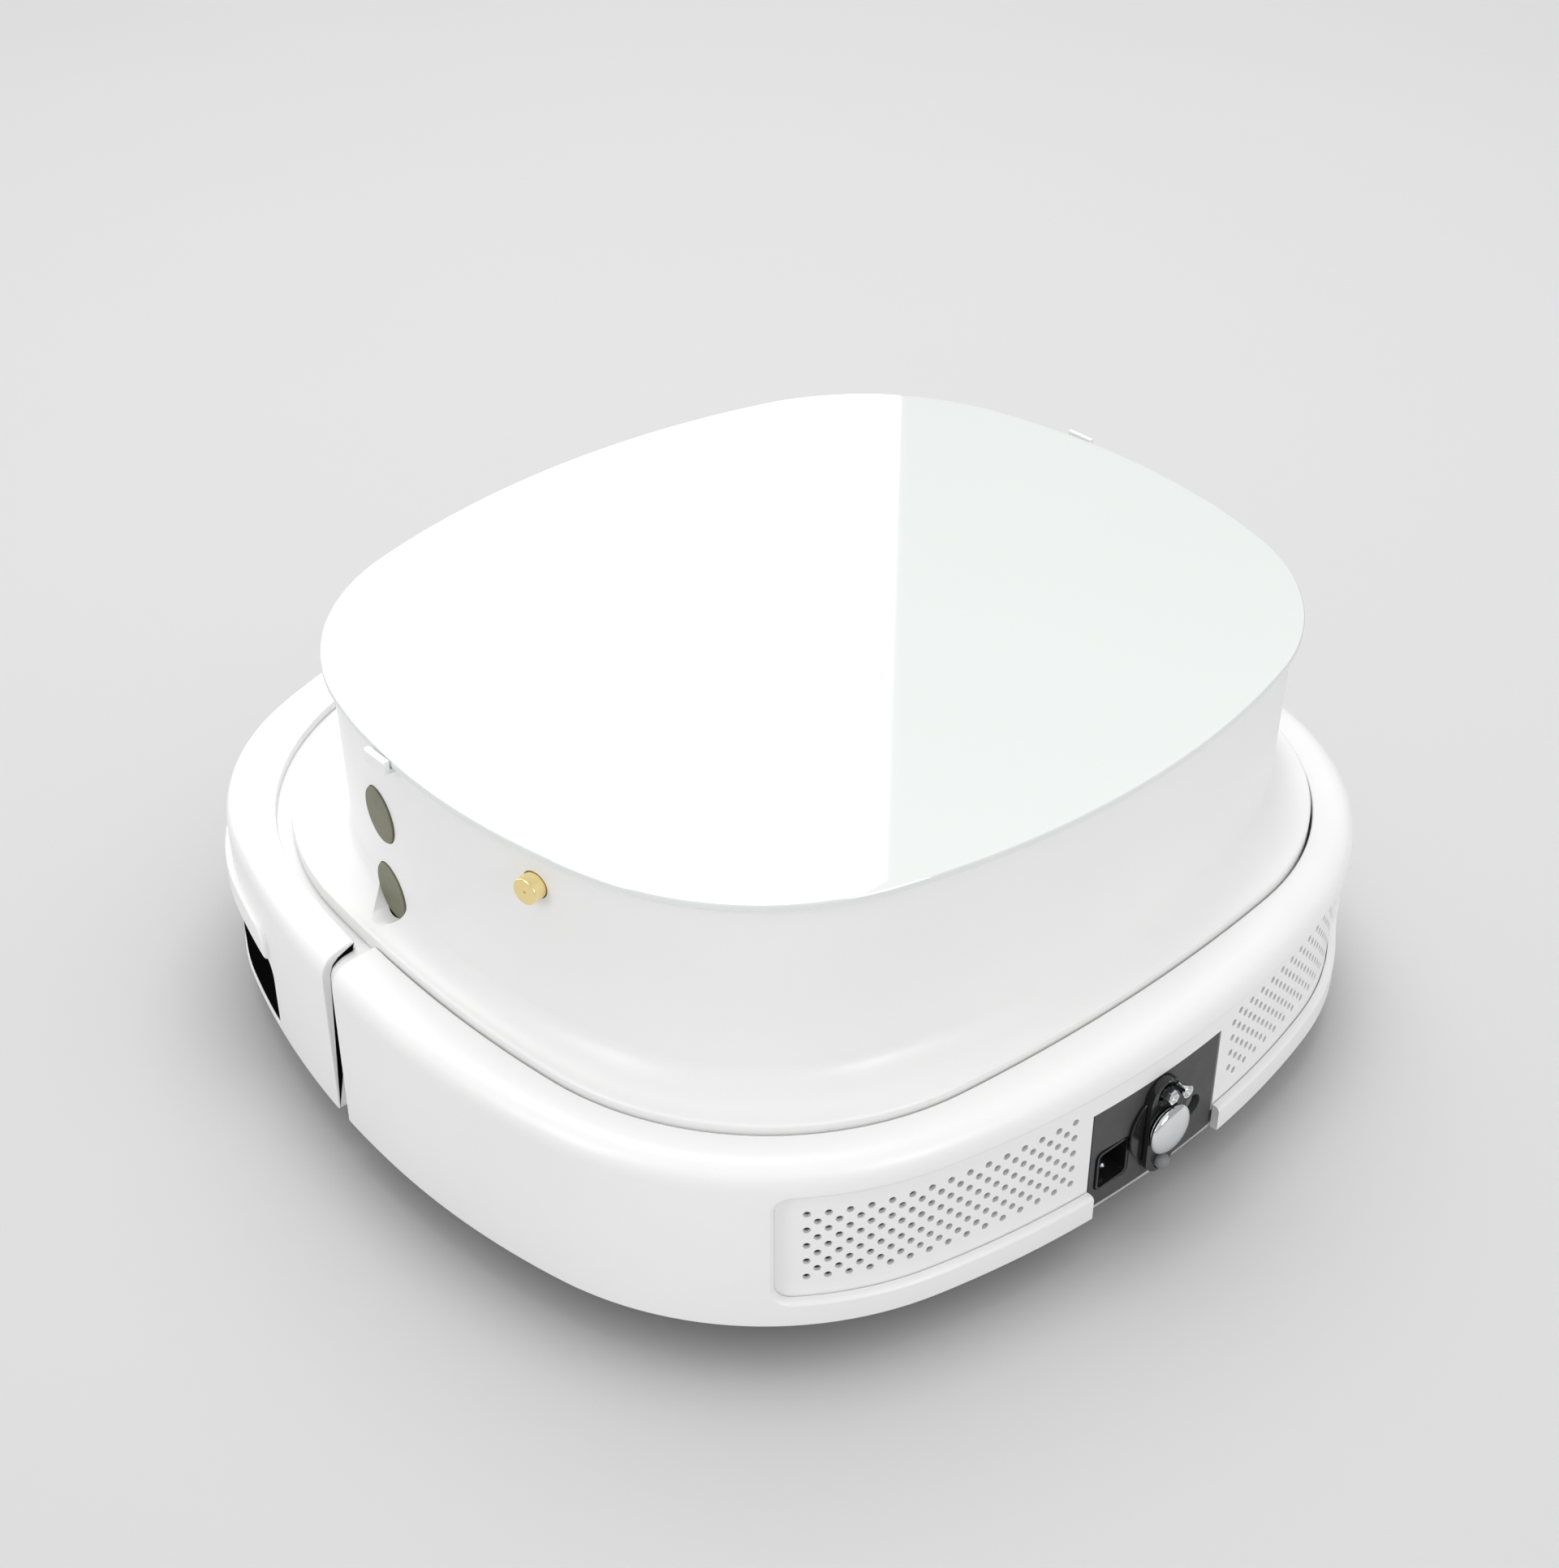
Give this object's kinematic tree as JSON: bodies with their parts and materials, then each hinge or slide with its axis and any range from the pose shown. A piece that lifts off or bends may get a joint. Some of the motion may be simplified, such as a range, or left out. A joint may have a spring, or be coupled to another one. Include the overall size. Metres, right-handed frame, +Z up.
{
  "type": "two wheel robot car",
  "caption": "Low rounded robot car: sprung front bumper with dark sensor band, tower with lift-off lid, rear service panel, driven wheels and swivel casters.",
  "frame": {"origin": "centre of the bounding box, on the floor under the wheels", "axes": "+Z up, -Y the way the bumper faces (forwards), +Y out of the rear service panel, +X the robot's left"},
  "size_m": [0.4, 0.412, 0.1734],
  "materials": {
    "shell": "satin white",
    "lid": "glossy white",
    "panel": "dark grey, fine matt",
    "window_gloss": "polished black",
    "dark_plastic": "black, matt",
    "grey_plastic": "mid grey, satin",
    "sensor_eye": "smoked olive, smooth",
    "gold": "polished gold colour",
    "chrome": "mirror chrome",
    "steel": "plain steel",
    "tyre": "matt black rubber",
    "rubber": "matt black rubber",
    "board": "green solder mask",
    "battery": "blue wrap",
    "chassis_plastic": "light grey, matt"
  },
  "bodies": {
    "chassis": {"rear_shell": "shell", "tower_wall": "shell", "tower_base": "shell", "lid_catch_left": "shell", "lid_catch_right": "shell", "sensor_eye_upper": "sensor_eye", "sensor_eye_lower": "sensor_eye", "rear_grille": "shell", "rear_panel": "panel", "inlet_socket": "dark_plastic", "inlet_pin_upper": "steel", "inlet_pin_lower": "steel", "switch_rosette": "panel", "switch_plate": "panel", "knob_collar": "chrome", "hex_stud": "chrome", "cone_stud": "chrome", "lamp_stud": "grey_plastic", "chassis_plate": "chassis_plastic", "gear_motor_left": "dark_plastic", "gear_motor_right": "dark_plastic", "motor_bracket_left": "steel", "motor_bracket_right": "steel", "caster_cup_front": "dark_plastic", "caster_cup_rear": "dark_plastic", "battery_pack": "battery", "control_board": "board", "standoff_1": "steel", "standoff_2": "steel", "standoff_3": "steel", "standoff_4": "steel", "screw_1": "steel", "screw_2": "steel", "screw_3": "steel", "screw_4": "steel", "bumper_switch_left": "dark_plastic", "bumper_switch_right": "dark_plastic", "bumper_stop_left": "rubber", "bumper_stop_right": "rubber"},
    "bumper": {"front_bumper": "shell", "sensor_window": "window_gloss"},
    "lid": {"lid": "lid"},
    "side_button": {"side_button": "gold"},
    "power_button": {"power_button": "chrome"},
    "reset_button": {"reset_button": "grey_plastic"},
    "drive_wheel_left": {"wheel_tyre_left": "tyre", "wheel_hub_left": "grey_plastic", "drive_shaft_left": "steel"},
    "drive_wheel_right": {"wheel_tyre_right": "tyre", "wheel_hub_right": "grey_plastic", "drive_shaft_right": "steel"},
    "caster_swivel_front": {"caster_fork_front": "steel", "caster_axle_front": "steel"},
    "caster_roller_front": {"caster_wheel_front": "tyre"},
    "caster_swivel_rear": {"caster_fork_rear": "steel", "caster_axle_rear": "steel"},
    "caster_roller_rear": {"caster_wheel_rear": "tyre"}
  },
  "joints": [
    {"name": "bumper_push", "type": "slide", "parent": "chassis", "child": "bumper", "axis": [0, 1, 0], "range_m": [0, 0.003], "stiffness_N_per_m": 900},
    {"name": "lid_lift", "type": "slide", "parent": "chassis", "child": "lid", "axis": [0, 0, 1], "range_m": [0, 0.06]},
    {"name": "side_button_press", "type": "slide", "parent": "chassis", "child": "side_button", "axis": [-0.9812, -0.1928, 0], "range_m": [0, 0.0015], "stiffness_N_per_m": 500},
    {"name": "power_button_press", "type": "slide", "parent": "chassis", "child": "power_button", "axis": [0, -1, 0], "range_m": [0, 0.0012], "stiffness_N_per_m": 600},
    {"name": "reset_button_press", "type": "slide", "parent": "chassis", "child": "reset_button", "axis": [0, -1, 0], "range_m": [0, 0.001], "stiffness_N_per_m": 500},
    {"name": "drive_wheel_left_spin", "type": "hinge", "parent": "chassis", "child": "drive_wheel_left", "pos_m": [0.125, 0.01745, 0.036], "axis": [1, 0, 0], "continuous": true},
    {"name": "drive_wheel_right_spin", "type": "hinge", "parent": "chassis", "child": "drive_wheel_right", "pos_m": [-0.125, 0.01745, 0.036], "axis": [1, 0, 0], "continuous": true},
    {"name": "caster_front_swivel", "type": "hinge", "parent": "chassis", "child": "caster_swivel_front", "pos_m": [0, -0.11755, 0.036], "axis": [0, 0, 1], "continuous": true},
    {"name": "caster_front_roll", "type": "hinge", "parent": "caster_swivel_front", "child": "caster_roller_front", "pos_m": [0, -0.10955, 0.014], "axis": [1, 0, 0], "continuous": true},
    {"name": "caster_rear_swivel", "type": "hinge", "parent": "chassis", "child": "caster_swivel_rear", "pos_m": [0, 0.12745, 0.036], "axis": [0, 0, 1], "continuous": true},
    {"name": "caster_rear_roll", "type": "hinge", "parent": "caster_swivel_rear", "child": "caster_roller_rear", "pos_m": [0, 0.13545, 0.014], "axis": [1, 0, 0], "continuous": true}
  ]
}
